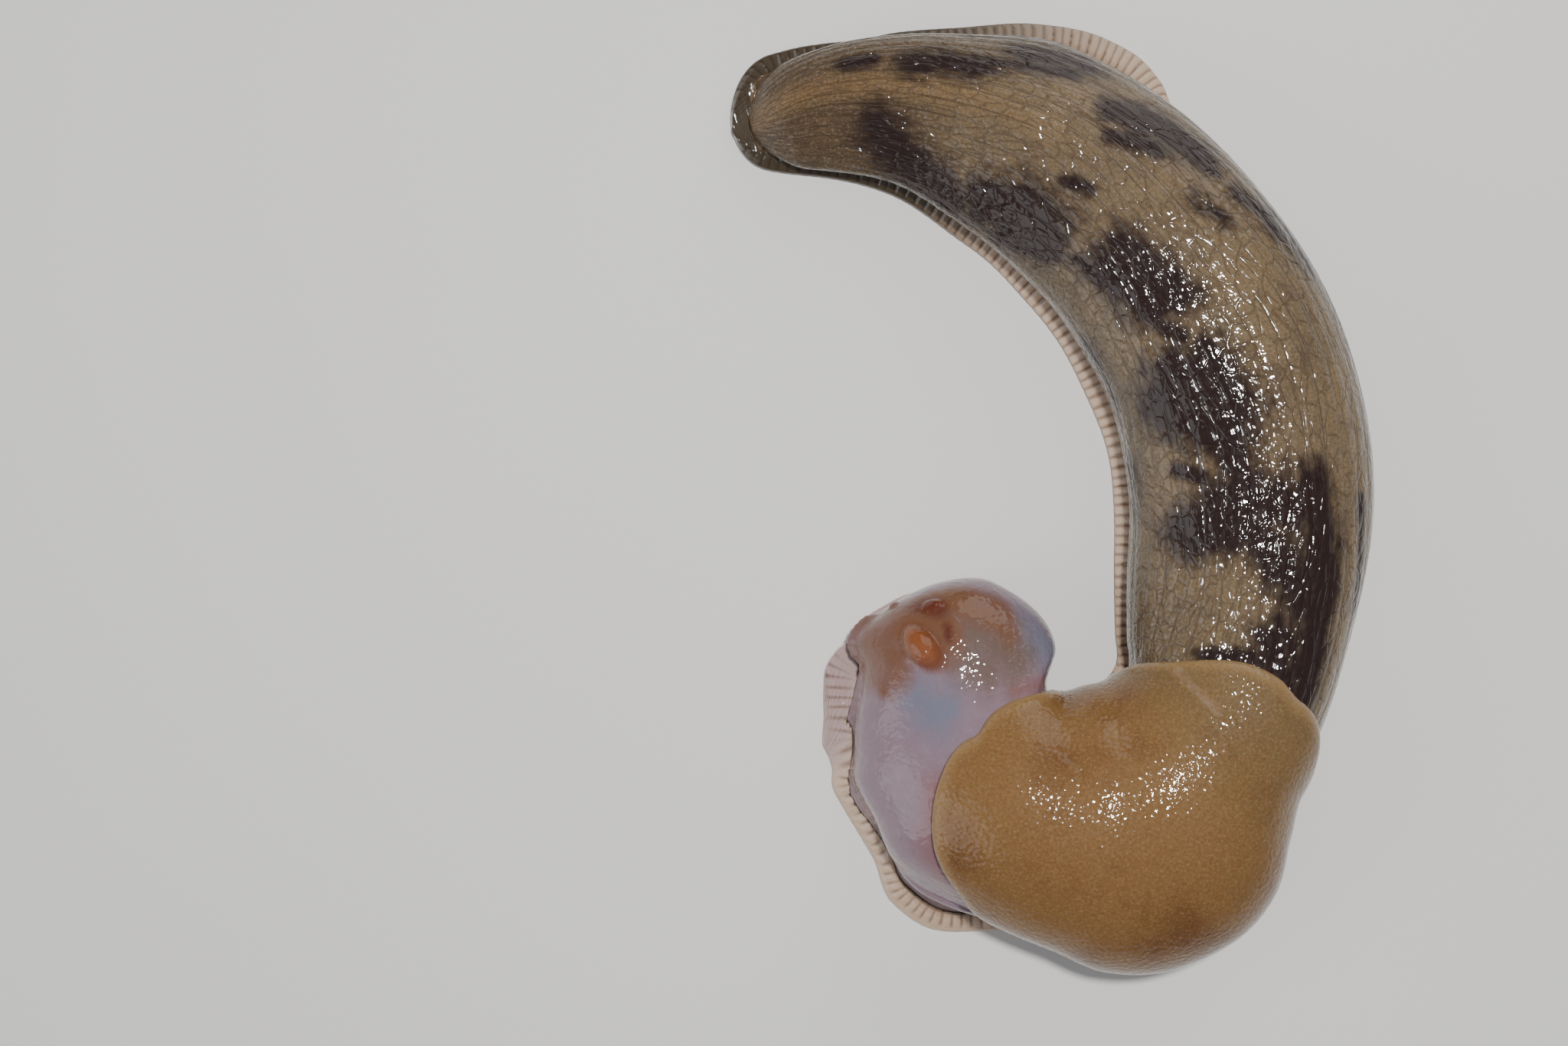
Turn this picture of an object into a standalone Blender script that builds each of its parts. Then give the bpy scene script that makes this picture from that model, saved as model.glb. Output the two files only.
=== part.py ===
"""A banana slug at life size, resting curled on a flat floor. Metres, +Z up.

The whole animal is laid out along one centreline that runs from the tail tip to the
front of the head. Profiles give its sizes at a distance along that line, in
millimetres: the heading of the line, how far the body and the foot reach to the left
(the outer side of the curl) and to the right, and how high the back stands.
"""

import math

import bmesh
import bpy
import numpy as np
from mathutils import Matrix, Vector

MM = 0.001
GAP = 0.3                      # clearance that touching pieces keep, in millimetres
CAP_GAP = 0.4                  # the same under the pieces that lie on curved skin

TAIL_TIP = (-37.4, 43.3)       # start of the centreline on the floor
LENGTH = 163.4                 # along the centreline, tail tip to head front
SPINE_STEP = 0.25

HEADING = [(0, 15), (13, 4), (33, -23), (53, -49), (73, -71), (93, -94), (105, -103),
           (117, -134), (129, -172), (139, -205), (149, -231), (156, -217), (163.4, -200)]

BODY_LEFT = [(2, 4.6), (8, 6.6), (14, 8.0), (20, 8.8), (26, 9.8), (35, 12.4), (50, 13.1),
             (75, 14.6), (92, 14.0), (107, 12.5), (115, 12.6), (118, 14.6), (121, 18.2),
             (124, 20.0), (127, 20.6), (130, 19.6), (133, 17.4), (137, 16.4), (143, 16.8),
             (146, 14.8), (150, 12.4), (157.8, 8.0), (162, 3.2), (163.4, 3.0)]
BODY_RIGHT = [(2, 5.0), (8, 6.4), (20, 8.8), (35, 12.4), (50, 13.6), (75, 14.0), (95, 13.6),
              (108, 12.2), (118, 9.7), (128, 9.5), (137, 8.8), (142, 10.6), (147, 14.4),
              (151, 15.4), (155, 14.4), (158.5, 11.6), (161, 8.4), (163.4, 4.5)]
BODY_HEIGHT = [(2, 5.0), (10, 7.6), (22, 10.4), (38, 14.0), (55, 17.0), (75, 18.6), (105, 19.0),
               (128, 19.6), (140, 18.0), (150, 14.6), (157, 12.6), (163.4, 9.5)]
CREST_SIDE = [(2, 0.6), (12, 2.6), (30, 2.4), (60, 2.2), (80, 3.0), (105, 4.0), (116, 3.0),
              (128, 5.0), (143, 3.0), (150, 0.0), (154, -3.2), (158, -5.0), (163.4, -2.0)]
ROUNDNESS = [(2, 1.6), (30, 1.7), (55, 1.95), (110, 2.1), (145, 2.2), (163.4, 2.1)]

FOOT_LEFT = [(0, 7.0), (3, 8.0), (7, 8.6), (10, 8.8), (15, 8.8), (19, 9.8), (25, 11.5),
             (32, 14.7), (38, 16.7), (41, 17.0), (44, 16.2), (48, 13.8), (75, 13.8), (92, 13.2),
             (106, 12.0), (114, 12.4), (120, 15.5), (128, 18.6), (135, 19.8), (139.5, 22.6),
             (141.5, 22.0), (143.8, 19.0), (146.5, 17.6), (150.5, 16.6), (157, 14.6),
             (163.4, 13.0)]
FOOT_RIGHT = [(0, 6.6), (4, 6.0), (8, 6.8), (20, 9.8), (35, 13.2), (50, 14.6), (75, 15.0),
              (95, 14.4), (108, 12.4), (118, 10.4), (128, 9.8), (137, 9.8), (144, 10.4),
              (150, 12.4), (157, 11.0), (163.4, 7.0)]
FRINGE_LEFT = [(0, 2.4), (12, 2.6), (20, 2.6), (40, 3.4), (52, 2.7), (110, 2.7), (135, 2.4),
               (143, 2.6), (146, 3.1), (150, 4.2), (157.8, 6.4), (163.4, 7.0)]
FRINGE_RIGHT = [(0, 2.2), (6, 1.8), (20, 2.4), (110, 2.6), (163.4, 2.2)]

FOOT_TOP = 1.7                 # top of the foot at the groove above its fringe
FOOT_EDGE = 0.7                # thickness of the fringe at its margin
BODY_BASE = FOOT_TOP + GAP
WIDEST_SHARE = 0.34            # height of the widest line as a share of the body's height

NARROWEST = 0.3                # least half width of the foot inside its grooves
SMALLEST_SHARE = 0.05
SPOT_STEP = 0.02               # the step over which the skin's stretch is measured
TAIL_ROUNDING = 6.0            # lengths over which the ends close
HEAD_ROUNDING = 8.5
FOOT_HEAD_ROUNDING = 3.2
HEAD_TIP_HEIGHT = 4.6
TAIL_TIP_HEIGHT = 2.8
BODY_START = 2.2               # the body wall starts this far in from the tail tip
END_INSET = 0.12               # the rounded ends close with a small flat this far in

RIB_SPACING = 2.6              # ribs across the fringe, and how deep they are
RIB_DEPTH = 0.3

RING_SPACING = 3.0
TAIL_RINGS = (0.05, 0.14, 0.3)            # extra rings, as shares of each end's rounding
HEAD_RINGS = (0.04, 0.1, 0.18, 0.28, 0.45, 0.6)
FOOT_HEAD_RINGS = (0.1, 0.25)
HUMP_SPACING = 2.0             # closer rings where the body bends under the mantle
HUMP_START = 110.0
HUMP_END = 153.0
SMOOTH_ANGLE = 40.0            # edges that turn more than this stay sharp
BODY_SIDES = 12                # steps from the crest to each widest line
LOWER_SIDES = 3                # steps from the widest line down to the groove

# Name, start and end along the centreline.
BODY_LENGTHS = [
    ("tail", BODY_START + 0.1, 26.0),
    ("body_rear", 26.0, 54.0),
    ("body_middle", 54.0, 82.0),
    ("body_front", 82.0, 109.0),
    ("hump_rear", 109.0, 126.0),
    ("hump_front", 126.0, 142.0),
    ("neck", 142.0, 153.5),
    ("head", 153.5, LENGTH - 0.1),
]
FOOT_LENGTHS = [
    ("foot_tail", 0.0, 26.0),
    ("foot_rear", 26.0, 54.0),
    ("foot_middle", 54.0, 82.0),
    ("foot_front", 82.0, 109.0),
    ("foot_hump_rear", 109.0, 126.0),
    ("foot_hump_front", 126.0, 142.0),
    ("foot_head", 142.0, LENGTH),
]

# The mantle: its centre along and across the skin, its half sizes, its thickness at the
# rim and how much more it has in the middle.
LIP_REACH = 1.02               # the rounded rim of a piece on the skin stands out to this share
MANTLE_CENTRE = (126.6, 0.04)
MANTLE_HALF = (19.7, 1.09)
MANTLE_RIM = 1.1
MANTLE_RISE = 2.4
# Reach of the mantle's margin as a share of its half sizes, by angle from the front.
MANTLE_OUTLINE = [(0, 1.0), (20, 0.88), (38, 0.85), (57, 0.97), (90, 1.1), (124, 1.02),
                  (145, 0.92), (172, 0.92), (192, 1.03), (212, 0.99), (245, 1.05), (270, 1.02),
                  (302, 1.1), (333, 1.02), (346, 1.04), (360, 1.0)]

# The slit of the breathing pore, by its ends along and across, and its size.
PORE_START = (110.9, -0.44)
PORE_END = (113.3, -0.17)
PORE_WIDTH = 1.2
PORE_DEPTH = 0.8

# The drawn-in tentacles: name, centre along and across, radii, thickness at the rim and
# rise in the middle.
TENTACLES = [
    ("tentacle_upper_left", (157.3, 0.1), (2.9, 2.4), 0.5, 1.3),
    ("tentacle_upper_right", (158.8, -0.24), (1.7, 1.4), 0.4, 0.5),
    ("tentacle_lower_left", (161.0, 0.72), (0.9, 0.8), 0.4, 0.5),
    ("tentacle_lower_right", (161.0, -0.72), (0.9, 0.8), 0.4, 0.5),
]

# Lips: centre along, across and above the floor, then radii along, across and up.
LIPS = [
    ((LENGTH - 1.5, -0.6, 4.7), (2.0, 3.6, 1.25)),
    ((LENGTH - 1.7, -0.6, 3.05), (1.9, 2.8, 0.85)),
]


def clear_scene():
    for obj in list(bpy.data.objects):
        bpy.data.objects.remove(obj, do_unlink=True)


def monotone(points):
    """A smooth curve through the points that never overshoots between them."""
    x = np.array([p[0] for p in points], float)
    y = np.array([p[1] for p in points], float)
    step = np.diff(x)
    slope = np.diff(y) / step
    tangent = np.zeros(len(x))
    for i in range(1, len(x) - 1):
        if slope[i - 1] * slope[i] > 0:
            before = 2 * step[i] + step[i - 1]
            after = step[i] + 2 * step[i - 1]
            tangent[i] = (before + after) / (before / slope[i - 1] + after / slope[i])
    tangent[0] = slope[0]
    tangent[-1] = slope[-1]

    def value(at):
        at = np.clip(at, x[0], x[-1])
        i = np.clip(np.searchsorted(x, at, side="right") - 1, 0, len(step) - 1)
        t = (at - x[i]) / step[i]
        rise = y[i] * (1 + 2 * t) * (1 - t) ** 2 + y[i + 1] * t * t * (3 - 2 * t)
        bend = step[i] * t * (1 - t) * (tangent[i] * (1 - t) - tangent[i + 1] * t)
        return rise + bend

    return value


heading = monotone(HEADING)
body_left = monotone(BODY_LEFT)
body_right = monotone(BODY_RIGHT)
body_height = monotone(BODY_HEIGHT)
crest_side = monotone(CREST_SIDE)
roundness = monotone(ROUNDNESS)
foot_left = monotone(FOOT_LEFT)
foot_right = monotone(FOOT_RIGHT)
fringe_left = monotone(FRINGE_LEFT)
fringe_right = monotone(FRINGE_RIGHT)
mantle_outline = monotone(MANTLE_OUTLINE)


def centreline():
    """Distances, positions and headings along the floor, from the heading profile."""
    along = np.arange(0.0, LENGTH + SPINE_STEP, SPINE_STEP)
    turn = np.radians(heading(along))
    dx = (np.cos(turn[1:]) + np.cos(turn[:-1])) / 2 * SPINE_STEP
    dy = (np.sin(turn[1:]) + np.sin(turn[:-1])) / 2 * SPINE_STEP
    x = TAIL_TIP[0] + np.concatenate([[0.0], np.cumsum(dx)])
    y = TAIL_TIP[1] + np.concatenate([[0.0], np.cumsum(dy)])
    return along, x, y, turn


LINE = centreline()


def place(along, across, up):
    """A point given along, to the left of and above the centreline, in metres."""
    x = np.interp(along, LINE[0], LINE[1])
    y = np.interp(along, LINE[0], LINE[2])
    turn = np.interp(along, LINE[0], LINE[3])
    return Vector((x - across * math.sin(turn), y + across * math.cos(turn), up)) * MM


def end_share(along, start, head_rounding, power=2.0):
    """How far the section has opened, from 0 at an end to 1 where the rounding stops."""
    tail = max(0.0, 1 - max(0.0, along - start) / TAIL_ROUNDING)
    head = max(0.0, 1 - (LENGTH - along) / head_rounding)
    return math.sqrt(1 - tail * tail) * max(0.0, 1 - head ** power) ** (1 / power)


def foot_reach(along):
    """Half widths of the foot to its margins and to its grooves, left then right."""
    share = end_share(along, 0.0, FOOT_HEAD_ROUNDING, 3.0)
    left = foot_left(along) * share
    right = foot_right(along) * share
    narrowing = 0.3 + 0.7 * share
    groove_left = max(NARROWEST, left - fringe_left(along) * narrowing)
    groove_right = max(NARROWEST, right - fringe_right(along) * narrowing)
    return left, right, groove_left, groove_right


def body_point(along, side):
    """Skin of the body: side is 0 on the crest, 1 on the left widest line, 1.5 at its
    groove, and the same with a minus sign on the right."""
    share = end_share(along, BODY_START, HEAD_ROUNDING)
    reach = body_left(along) if side >= 0 else -body_right(along)
    crest = crest_side(along)
    height = body_height(along)
    widest = BODY_BASE + (height - BODY_BASE) * WIDEST_SHARE
    power = 2.0 / roundness(along)
    part = abs(side)
    if part <= 1:
        angle = part * math.pi / 2
        across = crest + (reach - crest) * math.sin(angle) ** power
        up = widest + (height - widest) * max(0.0, math.cos(angle)) ** power
    else:
        angle = (part - 1) * math.pi
        groove = foot_reach(along)[2] if side >= 0 else -foot_reach(along)[3]
        across = reach + (groove / max(share, SMALLEST_SHARE) - reach) * (1 - math.cos(angle))
        up = widest - (widest - BODY_BASE) * math.sin(angle)
    middle = HEAD_TIP_HEIGHT if along > LENGTH / 2 else TAIL_TIP_HEIGHT
    up = middle + (up - middle) * share ** 0.8
    return place(along, across * share, max(up, BODY_BASE))


def skin_frame(along, side):
    """Point and outward normal of the body's skin."""
    step = 0.05
    reach = 0.01
    point = body_point(along, side)
    forward = body_point(along + step, side) - body_point(along - step, side)
    leftward = body_point(along, side + reach) - body_point(along, side - reach)
    return point, forward.cross(leftward).normalized()


def stations(start, end):
    """Places for the rings of one length, closer together where an end rounds off."""
    spacing = HUMP_SPACING if HUMP_START < end and start < HUMP_END else RING_SPACING
    count = max(2, math.ceil((end - start) / spacing) + 1)
    marks = list(np.linspace(start, end, count))
    if start < TAIL_ROUNDING:
        marks += [start + TAIL_ROUNDING * share for share in TAIL_RINGS]
    if end > LENGTH - 1:
        marks += [end - HEAD_ROUNDING * share for share in HEAD_RINGS]
    marks = sorted(marks)
    return [m for i, m in enumerate(marks) if i == 0 or m - marks[i - 1] > END_INSET]


def make_material(name, colour, rough):
    material = bpy.data.materials.new(name)
    material.use_nodes = True
    shader = material.node_tree.nodes["Principled BSDF"]
    shader.inputs["Base Color"].default_value = (*colour, 1)
    shader.inputs["Roughness"].default_value = rough
    shader.inputs["Metallic"].default_value = 0
    return material


def add_object(name, mesh_data, material):
    mesh = bpy.data.meshes.new(name)
    mesh_data.normal_update()
    bmesh.ops.recalc_face_normals(mesh_data, faces=mesh_data.faces)
    mesh_data.to_mesh(mesh)
    mesh_data.free()
    mesh.shade_smooth()
    mesh.set_sharp_from_angle(angle=math.radians(SMOOTH_ANGLE))
    mesh.materials.append(material)
    obj = bpy.data.objects.new(name, mesh)
    bpy.context.scene.collection.objects.link(obj)
    return obj


def loft(name, rings, material):
    """One closed body from rings of equally many points."""
    shape = bmesh.new()
    loops = [[shape.verts.new(p) for p in ring] for ring in rings]
    for lower, upper in zip(loops, loops[1:]):
        for i in range(len(lower)):
            j = (i + 1) % len(lower)
            shape.faces.new((lower[i], lower[j], upper[j], upper[i]))
    shape.faces.new(loops[0])
    shape.faces.new(loops[-1])
    return add_object(name, shape, material)


def body_ring(along):
    upper = [i / BODY_SIDES for i in range(-BODY_SIDES, BODY_SIDES + 1)]
    left = [1 + 0.5 * i / LOWER_SIDES for i in range(1, LOWER_SIDES + 1)]
    right = [-side for side in reversed(left)]
    return [body_point(along, side) for side in right + upper + left]


def foot_ring(along):
    left, right, groove_left, groove_right = foot_reach(along)
    edge = min(0.35, 0.3 * left)
    rib = RIB_DEPTH / 2 * math.cos(2 * math.pi * along / RIB_SPACING)
    slope = (FOOT_EDGE + FOOT_TOP) / 2 + 0.1 + rib
    margin = FOOT_EDGE + rib / 2
    points = [
        (edge - right, 0.0), (left - edge, 0.0), (left, margin / 2), (left - edge / 2, margin),
        ((left + groove_left) / 2, slope), (groove_left, FOOT_TOP),
        (-groove_right, FOOT_TOP), (-(right + groove_right) / 2, slope),
        (edge / 2 - right, margin), (-right, margin / 2),
    ]
    return [place(along, across, up) for across, up in points]


def rib_stations(start, end):
    """Places for the rings of one length of the foot: the top and the foot of each rib."""
    half = RIB_SPACING / 2
    first = math.ceil((start + half / 3) / half)
    last = math.floor((end - half / 3) / half)
    marks = [start] + [i * half for i in range(first, last + 1)] + [end]
    if end > LENGTH - 1:
        marks += [end - FOOT_HEAD_ROUNDING * share for share in FOOT_HEAD_RINGS]
    return sorted(marks)


def make_lengths(lengths, places, ring, material):
    """The lengths of one part of the animal, cut apart by the clearance."""
    made = {}
    for name, start, end in lengths:
        first = start + (GAP / 2 if start > TAIL_ROUNDING else END_INSET)
        last = end - (GAP / 2 if end < LENGTH - 1 else END_INSET)
        made[name] = loft(name, [ring(s) for s in places(first, last)], material)
    return made


def skin_cap(name, spot, rim, rise, fall, rings, sectors, material):
    """A cushion that lies on the skin, with a rounded rim and its middle raised. Its spot
    gives the place on the skin at a share of its reach and an angle. A low fall makes it
    a steep dome, and a fall of 1 a shallow one."""
    shape = bmesh.new()

    def point(share, angle, lift):
        base, normal = skin_frame(*spot(share, angle))
        return base + normal * lift * MM

    angles = [2 * math.pi * i / sectors for i in range(sectors)]
    shares = [(i + 1) / rings for i in range(rings)]
    under = [[shape.verts.new(point(r, a, CAP_GAP)) for a in angles] for r in shares]
    lip = [shape.verts.new(point(LIP_REACH, a, CAP_GAP + rim / 2)) for a in angles]
    upper = []
    for r in reversed(shares):
        lift = CAP_GAP + rim + rise * (1 - r * r) ** fall
        upper.append([shape.verts.new(point(r, a, lift)) for a in angles])
    low_middle = shape.verts.new(point(0, 0, CAP_GAP))
    top_middle = shape.verts.new(point(0, 0, CAP_GAP + rim + rise))
    loops = under + [lip] + upper
    for lower, higher in zip(loops, loops[1:]):
        for i in range(sectors):
            j = (i + 1) % sectors
            shape.faces.new((lower[i], lower[j], higher[j], higher[i]))
    for i in range(sectors):
        j = (i + 1) % sectors
        shape.faces.new((low_middle, loops[0][j], loops[0][i]))
        shape.faces.new((top_middle, loops[-1][i], loops[-1][j]))
    return add_object(name, shape, material)


def ellipsoid(centre, long_axis, wide_axis, radii):
    """A loose closed ellipsoid, its radii given along the two axes and across both."""
    up_axis = long_axis.cross(wide_axis)
    turn = Matrix((long_axis, wide_axis, up_axis)).transposed().to_4x4()
    size = Matrix.Diagonal((*[r * MM for r in radii], 1))
    shape = bmesh.new()
    bmesh.ops.create_uvsphere(shape, u_segments=16, v_segments=10, radius=1,
                              matrix=Matrix.Translation(centre) @ turn @ size)
    mesh = bpy.data.meshes.new("loose")
    shape.to_mesh(mesh)
    shape.free()
    obj = bpy.data.objects.new("loose", mesh)
    obj.hide_render = True
    obj.display_type = "WIRE"
    return obj


def keep_largest(mesh):
    """Drops every closed surface of the mesh but the largest."""
    shape = bmesh.new()
    shape.from_mesh(mesh)
    left = set(shape.faces)
    groups = []
    while left:
        seed = left.pop()
        group = {seed}
        front = [seed]
        while front:
            near = {f for e in front.pop().edges for f in e.link_faces} & left
            left -= near
            group |= near
            front.extend(near)
        groups.append(group)
    groups.sort(key=lambda group: sum(f.calc_area() for f in group))
    spare = [f for group in groups[:-1] for f in group]
    bmesh.ops.delete(shape, geom=spare, context="FACES")
    shape.to_mesh(mesh)
    shape.free()


def combine(obj, pieces, operation):
    """Joins the loose pieces to an object, or cuts them out of it, as one closed body."""
    group = bpy.data.collections.new("pieces")
    bpy.context.scene.collection.children.link(group)
    for piece in pieces:
        group.objects.link(piece)
    modifier = obj.modifiers.new("combine", "BOOLEAN")
    modifier.operation = operation
    modifier.operand_type = "COLLECTION"
    modifier.collection = group
    modifier.solver = "EXACT"
    depsgraph = bpy.context.evaluated_depsgraph_get()
    mesh = bpy.data.meshes.new_from_object(obj.evaluated_get(depsgraph))
    obj.modifiers.clear()
    obj.data = mesh
    keep_largest(mesh)
    mesh.set_sharp_from_angle(angle=math.radians(SMOOTH_ANGLE))
    for piece in pieces:
        bpy.data.objects.remove(piece, do_unlink=True)
    bpy.data.collections.remove(group)


def make_body():
    material = make_material("olive_skin", (0.28, 0.21, 0.12), 0.3)
    nodes = make_lengths(BODY_LENGTHS, stations, body_ring, material)
    add_lips(nodes["head"])


def add_lips(head):
    """An upper and a lower lip on the front of the head, with the mouth's line between."""
    ahead = (place(LENGTH, 0, 0) - place(LENGTH - 1, 0, 0)).normalized()
    across = Vector((-ahead.y, ahead.x, 0))
    lips = [ellipsoid(place(*centre), ahead, across, radii) for centre, radii in LIPS]
    combine(head, lips, "UNION")


def make_foot():
    material = make_material("foot_fringe", (0.55, 0.45, 0.36), 0.35)
    make_lengths(FOOT_LENGTHS, rib_stations, foot_ring, material)


def mantle_spot(share, angle):
    reach = share * mantle_outline(math.degrees(angle))
    along = MANTLE_CENTRE[0] + MANTLE_HALF[0] * reach * math.cos(angle)
    return along, MANTLE_CENTRE[1] + MANTLE_HALF[1] * reach * math.sin(angle)


def make_mantle():
    material = make_material("mantle_skin", (0.48, 0.24, 0.06), 0.3)
    mantle = skin_cap("mantle", mantle_spot, MANTLE_RIM, MANTLE_RISE, 1.0, 12, 56, material)
    cut_breathing_pore(mantle)


def cut_breathing_pore(mantle):
    """The closed slit of the breathing pore, at the right margin of the mantle."""
    start, normal = mantle_top(*PORE_START)
    end = mantle_top(*PORE_END)[0]
    along = (end - start).normalized()
    wide = normal.cross(along).normalized()
    radii = ((end - start).length / MM / 2, PORE_WIDTH / 2, PORE_DEPTH)
    combine(mantle, [ellipsoid((start + end) / 2, along, wide, radii)], "DIFFERENCE")


def mantle_top(along, side):
    """Point and normal of the mantle's upper surface."""
    x = (along - MANTLE_CENTRE[0]) / MANTLE_HALF[0]
    y = (side - MANTLE_CENTRE[1]) / MANTLE_HALF[1]
    reach = math.hypot(x, y) / float(mantle_outline(math.degrees(math.atan2(y, x)) % 360))
    base, normal = skin_frame(along, side)
    return base + normal * (CAP_GAP + MANTLE_RIM + MANTLE_RISE * (1 - reach ** 2)) * MM, normal


def round_spot(centre, radii):
    """The spot of an oval piece, which shows its radii to an eye straight above it."""
    middle, normal = skin_frame(*centre)
    forward = body_point(centre[0] + SPOT_STEP, centre[1]) - middle
    forward = (forward - normal * forward.dot(normal)).normalized()
    leftward = normal.cross(forward)

    def flat(point):
        return np.array((point.dot(forward), point.dot(leftward)))

    def spot(share, angle):
        aim = np.array((radii[0] * math.cos(angle), radii[1] * math.sin(angle))) * share * MM
        along, side = centre
        for _ in range(4):
            here = body_point(along, side)
            by_along = flat(body_point(along + SPOT_STEP, side) - here) / SPOT_STEP
            by_side = flat(body_point(along, side + SPOT_STEP) - here) / SPOT_STEP
            miss = aim - flat(here - middle)
            change = np.linalg.solve(np.column_stack((by_along, by_side)), miss)
            along += change[0]
            side += change[1]
        return along, side

    return spot


def make_tentacles():
    material = make_material("tentacle_skin", (0.5, 0.17, 0.05), 0.2)
    for name, centre, radii, rim, rise in TENTACLES:
        skin_cap(name, round_spot(centre, radii), rim, rise, 0.5, 4, 16, material)


clear_scene()
make_body()
make_foot()
make_mantle()
make_tentacles()
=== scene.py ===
"""A banana slug at life size, curled on its foot on a pale studio floor and seen from above.

The animal is laid out along one centreline that runs from the tail tip to the front of the
head. Profiles give its sizes at a distance along that line, in millimetres, and "side" runs
over its skin: 0 on the crest, 1 on the left widest line, 1.5 at the left groove above the
foot, and the same with a minus sign on the right.
"""

import math

import bpy
import numpy as np
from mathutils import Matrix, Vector


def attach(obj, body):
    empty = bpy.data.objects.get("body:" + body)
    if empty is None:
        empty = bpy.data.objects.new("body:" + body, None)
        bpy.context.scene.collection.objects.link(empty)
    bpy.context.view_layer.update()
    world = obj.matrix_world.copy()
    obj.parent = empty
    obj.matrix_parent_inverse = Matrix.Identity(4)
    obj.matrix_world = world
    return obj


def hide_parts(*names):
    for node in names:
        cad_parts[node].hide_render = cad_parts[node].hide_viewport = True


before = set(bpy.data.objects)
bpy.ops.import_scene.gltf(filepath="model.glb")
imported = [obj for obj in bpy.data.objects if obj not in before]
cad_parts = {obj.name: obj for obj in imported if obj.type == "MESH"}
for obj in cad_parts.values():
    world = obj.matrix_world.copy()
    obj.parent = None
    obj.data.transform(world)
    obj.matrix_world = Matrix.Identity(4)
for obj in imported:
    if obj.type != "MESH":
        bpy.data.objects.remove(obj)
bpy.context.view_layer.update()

MM = 0.001

# The camera looks straight down, as the photograph does, and its top is +Y.
CAMERA_SPOT = (-31.2, -3.9, 268.0)
VIEW_WIDTH = 184.32            # width of the view at the height of its sharpest level
VIEW_LEVEL = 8.0
SENSOR = 36.0

FLOOR_HALF = 1.5               # in metres, as is its drop under the foot
FLOOR_DROP = 0.0002
FLOOR_TONES = ((0.66, 0.65, 0.63), (0.7, 0.69, 0.67))
# Lights: name, place and diameter in millimetres, watts and colour, and what they aim at.
LIGHTS = [
    ("key", (5, 50, 400), 32, 1.75, (1.0, 0.99, 0.97)),
    ("fill", (-560, -160, 260), 520, 1.2, (0.97, 0.98, 1.0)),
    ("back", (200, 560, 240), 520, 1.1, (1.0, 0.98, 0.95)),
]
LIGHT_AIM = (10, 0, 10)
AIR_COLOUR = (0.9, 0.93, 1.0, 1)
AIR_STRENGTH = 0.3

TAIL_TIP = (-37.4, 43.3)
LENGTH = 163.4
SPINE_STEP = 0.25
SPINE_SPARE = 3.0

HEADING = [(0, 15), (13, 4), (33, -23), (53, -49), (73, -71), (93, -94), (105, -103),
           (117, -134), (129, -172), (139, -205), (149, -231), (156, -217), (163.4, -200)]
BODY_LEFT = [(2, 4.6), (8, 6.6), (14, 8.0), (20, 8.8), (26, 9.8), (35, 12.4), (50, 13.1),
             (75, 14.6), (92, 14.0), (107, 12.5), (115, 12.6), (118, 14.6), (121, 18.2),
             (124, 20.0), (127, 20.6), (130, 19.6), (133, 17.4), (137, 16.4), (143, 16.8),
             (146, 14.8), (150, 12.4), (157.8, 8.0), (162, 3.2), (163.4, 3.0)]
BODY_RIGHT = [(2, 5.0), (8, 6.4), (20, 8.8), (35, 12.4), (50, 13.6), (75, 14.0), (95, 13.6),
              (108, 12.2), (118, 9.7), (128, 9.5), (137, 8.8), (142, 10.6), (147, 14.4),
              (151, 15.4), (155, 14.4), (158.5, 11.6), (161, 8.4), (163.4, 4.5)]
BODY_HEIGHT = [(2, 5.0), (10, 7.6), (22, 10.4), (38, 14.0), (55, 17.0), (75, 18.6), (105, 19.0),
               (128, 19.6), (140, 18.0), (150, 14.6), (157, 12.6), (163.4, 9.5)]
CREST_SIDE = [(2, 0.6), (12, 2.6), (30, 2.4), (60, 2.2), (80, 3.0), (105, 4.0), (116, 3.0),
              (128, 5.0), (143, 3.0), (150, 0.0), (154, -3.2), (158, -5.0), (163.4, -2.0)]
ROUNDNESS = [(2, 1.6), (30, 1.7), (55, 1.95), (110, 2.1), (145, 2.2), (163.4, 2.1)]
FOOT_LEFT = [(0, 7.0), (3, 8.0), (7, 8.6), (10, 8.8), (15, 8.8), (19, 9.8), (25, 11.5),
             (32, 14.7), (38, 16.7), (41, 17.0), (44, 16.2), (48, 13.8), (75, 13.8), (92, 13.2),
             (106, 12.0), (114, 12.4), (120, 15.5), (128, 18.6), (135, 19.8), (139.5, 22.6),
             (141.5, 22.0), (143.8, 19.0), (146.5, 17.6), (150.5, 16.6), (157, 14.6),
             (163.4, 13.0)]
FOOT_RIGHT = [(0, 6.6), (4, 6.0), (8, 6.8), (20, 9.8), (35, 13.2), (50, 14.6), (75, 15.0),
              (95, 14.4), (108, 12.4), (118, 10.4), (128, 9.8), (137, 9.8), (144, 10.4),
              (150, 12.4), (155, 11.2), (158.5, 9.2), (160, 7.4), (161.8, 4.6), (163.4, 3.0)]
FRINGE_LEFT = [(0, 2.4), (12, 2.6), (20, 2.6), (40, 3.4), (52, 2.7), (110, 2.7), (135, 2.4),
               (143, 2.6), (146, 3.1), (150, 4.2), (157.8, 6.4), (163.4, 7.0)]
FRINGE_RIGHT = [(0, 2.2), (6, 1.8), (20, 2.4), (110, 2.6), (163.4, 2.2)]
# How far the front of the foot juts forward, by distance across it.
FRONT_LEAN = [(0, 0), (2.5, 1.5), (4.5, 1.9), (7, 1.4), (10, 0.7), (13, 0.1), (16, 0)]
LEAN_START = 148.0

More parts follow.
